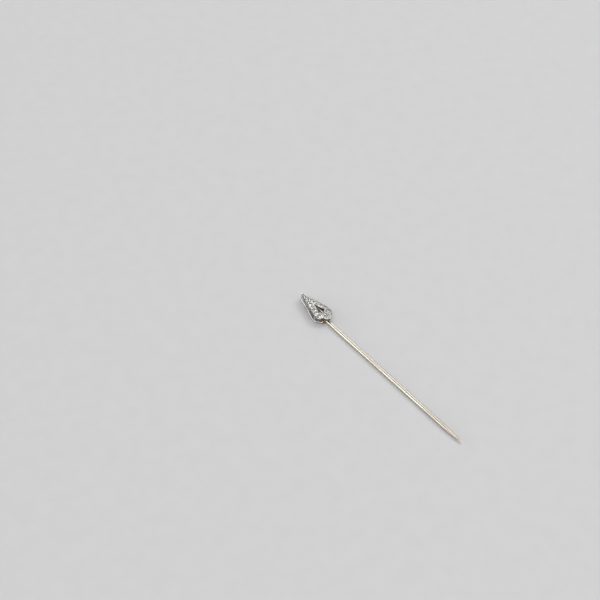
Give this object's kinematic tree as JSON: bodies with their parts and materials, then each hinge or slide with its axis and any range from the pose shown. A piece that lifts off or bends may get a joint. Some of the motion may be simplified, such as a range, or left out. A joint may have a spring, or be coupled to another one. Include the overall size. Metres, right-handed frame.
{
  "type": "tie tack",
  "caption": "Stick pin for a tie or lapel: a pierced arrowhead plate set with round stones over an open wire gallery, on a straight pointed stem.",
  "frame": {"origin": "centre of the joint's flat underside, on the plane the pin lies on", "axes": "+Y from the stem to the arrowhead's tip, +Z out of the stones' face, +X across the head"},
  "size_m": [0.0054, 0.0651, 0.0026],
  "materials": {
    "head_metal": "polished white metal, finely grained",
    "stem_metal": "polished pale warm metal with fine draw lines",
    "joint_gold": "worn polished gold",
    "stone": "faceted and clear"
  },
  "bodies": {
    "root": {"top_plate": "head_metal", "rim_wire": "head_metal", "post_tip": "head_metal", "post_upper_right": "head_metal", "post_upper_left": "head_metal", "post_lobe_right": "head_metal", "post_lobe_left": "head_metal", "joint": "joint_gold", "stem": "stem_metal", "stone_base": "stone", "stone_lobe_right": "stone", "stone_lobe_left": "stone", "stone_arm_right_1": "stone", "stone_arm_left_1": "stone", "stone_arm_right_2": "stone", "stone_arm_left_2": "stone", "stone_arm_right_3": "stone", "stone_arm_left_3": "stone", "stone_arm_right_4": "stone", "stone_arm_left_4": "stone", "stone_arm_right_5": "stone", "stone_arm_left_5": "stone", "stone_arm_right_6": "stone", "stone_arm_left_6": "stone", "stone_line_1": "stone", "stone_line_2": "stone", "stone_line_3": "stone", "stone_line_4": "stone"}
  },
  "joints": []
}
